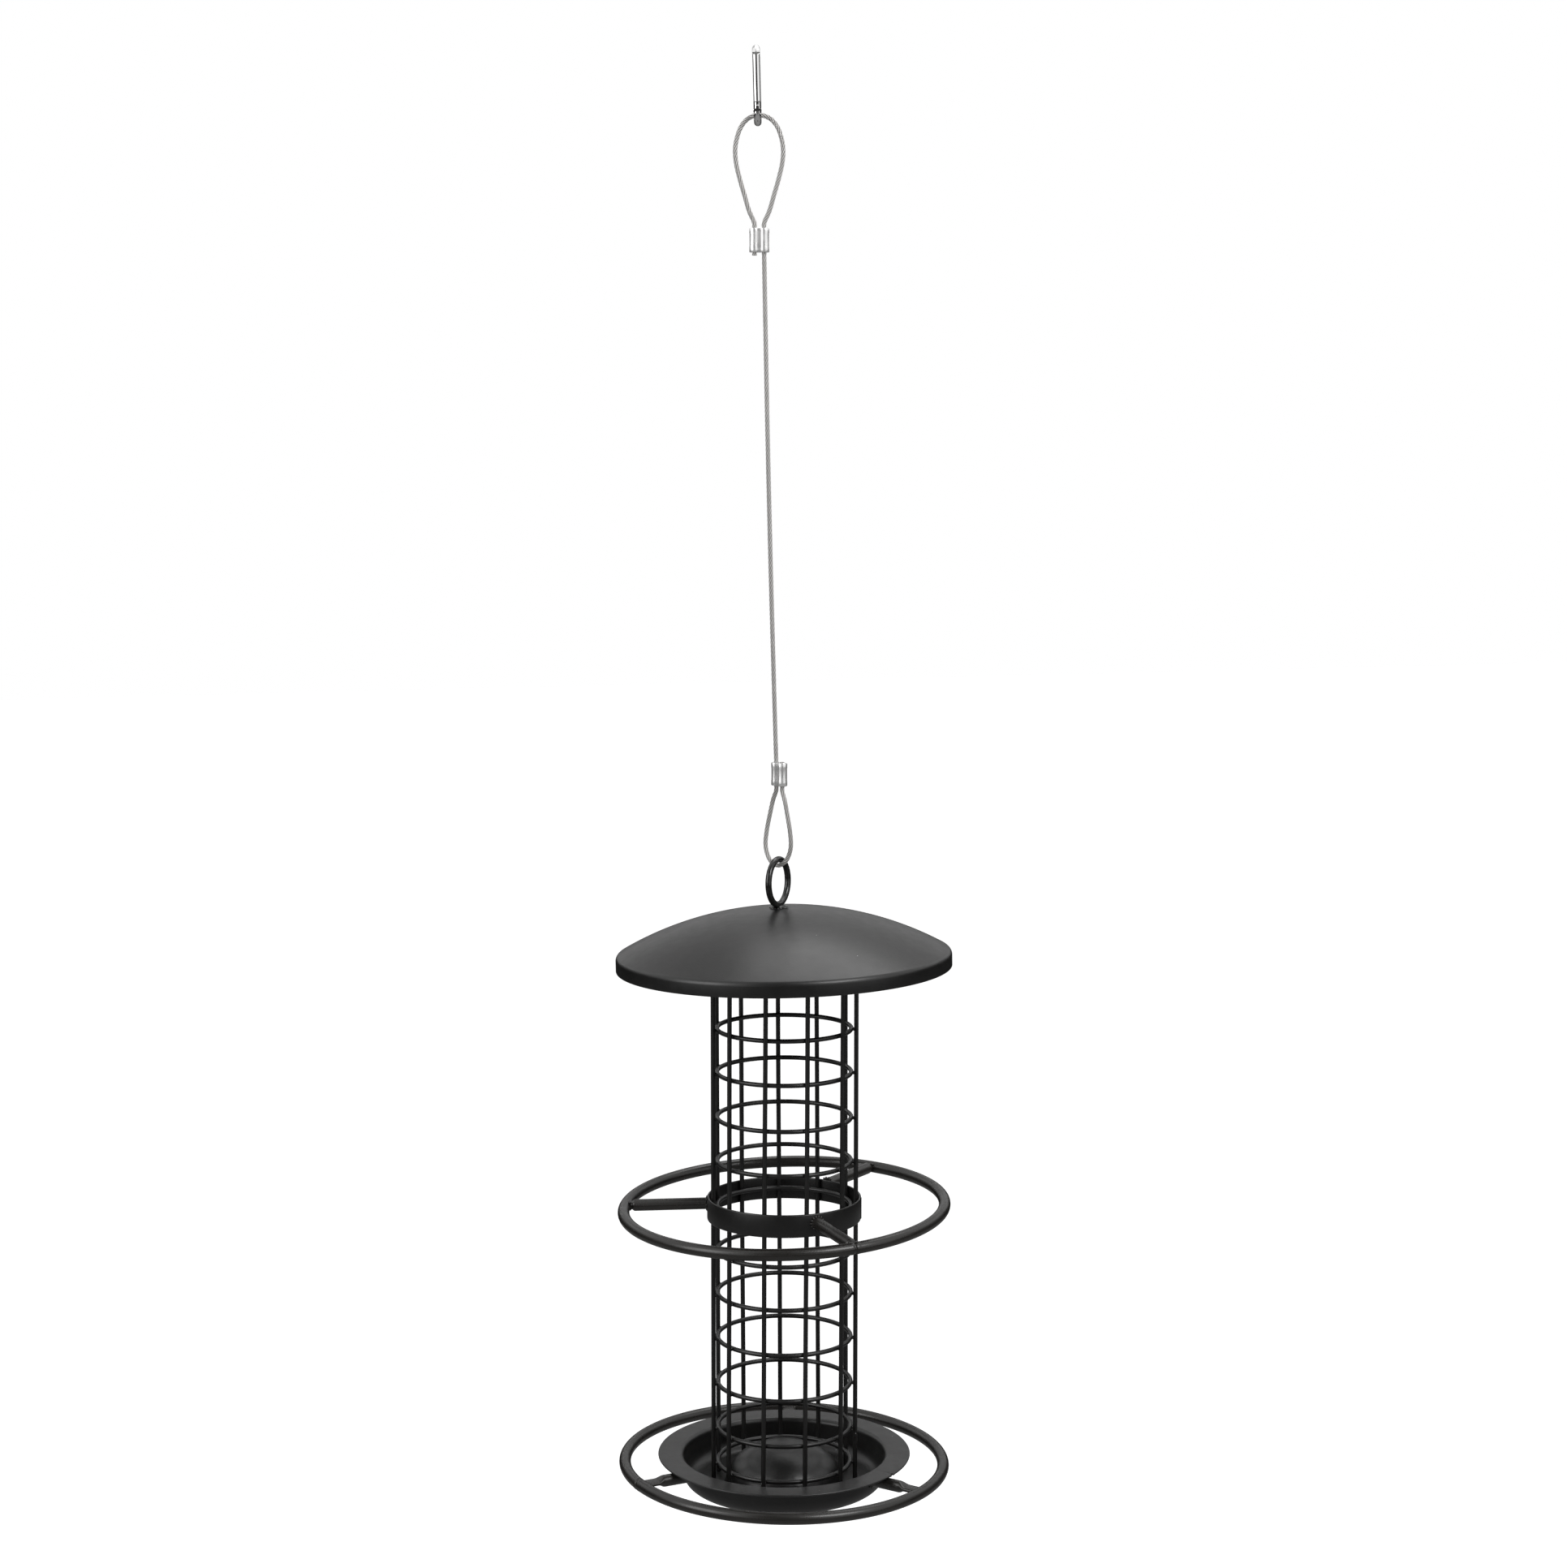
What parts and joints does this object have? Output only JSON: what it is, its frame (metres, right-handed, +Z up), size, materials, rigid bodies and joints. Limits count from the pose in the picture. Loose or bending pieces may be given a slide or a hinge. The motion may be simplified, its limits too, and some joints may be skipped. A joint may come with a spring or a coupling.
{
  "type": "fat ball bird feeder",
  "caption": "Hanging wire cage for fat balls, with a domed lid, round perches, a crumb tray, and a wire rope with a snap hook.",
  "frame": {"origin": "inside of the snap hook's top bend, where the feeder hangs", "axes": "+Z up along the hanging cable, -Y towards the front with the snap hook's gate, +X to the right"},
  "size_m": [0.1812, 0.175, 0.7479],
  "materials": {
    "black_coat": "satin",
    "perch_coat": "satin",
    "chrome": "polished",
    "aluminium": "satin",
    "rope_steel": "bright"
  },
  "bodies": {
    "hook": {"snap_hook_body": "chrome", "hinge_pin": "chrome"},
    "gate": {"snap_hook_gate": "chrome", "gate_spring": "rope_steel"},
    "cable": {"wire_rope": "rope_steel", "upper_ferrule": "aluminium", "lower_ferrule": "aluminium"},
    "lid": {"lid_shell": "black_coat", "lid_grip_band": "black_coat", "hanging_ring": "black_coat", "ring_weld_right": "black_coat", "ring_weld_left": "black_coat"},
    "cage": {"cage_upright_01": "black_coat", "cage_upright_02": "black_coat", "cage_upright_03": "black_coat", "cage_upright_04": "black_coat", "cage_upright_05": "black_coat", "cage_upright_06": "black_coat", "cage_upright_07": "black_coat", "cage_upright_08": "black_coat", "cage_upright_09": "black_coat", "cage_upright_10": "black_coat", "cage_upright_11": "black_coat", "cage_hoop_01": "black_coat", "cage_hoop_02": "black_coat", "cage_hoop_03": "black_coat", "cage_hoop_04": "black_coat", "cage_hoop_05": "black_coat", "cage_hoop_06": "black_coat", "cage_hoop_07": "black_coat", "cage_hoop_08": "black_coat", "cage_hoop_09": "black_coat", "cage_hoop_10": "black_coat", "cage_hoop_11": "black_coat", "cage_hoop_12": "black_coat", "cage_top_band": "black_coat", "middle_collar": "black_coat", "upper_perch_ring": "perch_coat", "upper_perch_spoke_01": "perch_coat", "upper_perch_spoke_02": "perch_coat", "upper_perch_spoke_03": "perch_coat", "tray": "black_coat", "lower_perch_ring": "perch_coat", "lower_perch_spoke_01": "perch_coat", "lower_perch_spoke_02": "perch_coat", "lower_perch_spoke_03": "perch_coat"}
  },
  "joints": [
    {"name": "gate_hinge", "type": "hinge", "parent": "hook", "child": "gate", "pos_m": [0, -0.0056, -0.0286], "axis": [-1, 0, 0], "range_deg": [0, 20], "stiffness_Nm_per_rad": 0.1, "springref_deg": -8.59},
    {"name": "cable_swing", "type": "hinge", "parent": "hook", "child": "cable", "pos_m": [0, 0, -0.034], "axis": [0, 1, 0], "range_deg": [-60, 60]},
    {"name": "lid_swing", "type": "hinge", "parent": "cable", "child": "lid", "pos_m": [0.00097, 0, -0.41203], "axis": [0.906, -0.4226, -0.0217], "range_deg": [-45, 45]},
    {"name": "cage_slide", "type": "slide", "parent": "lid", "child": "cage", "axis": [-0.0239, 0, -0.9997], "range_m": [0, 0.08]}
  ]
}
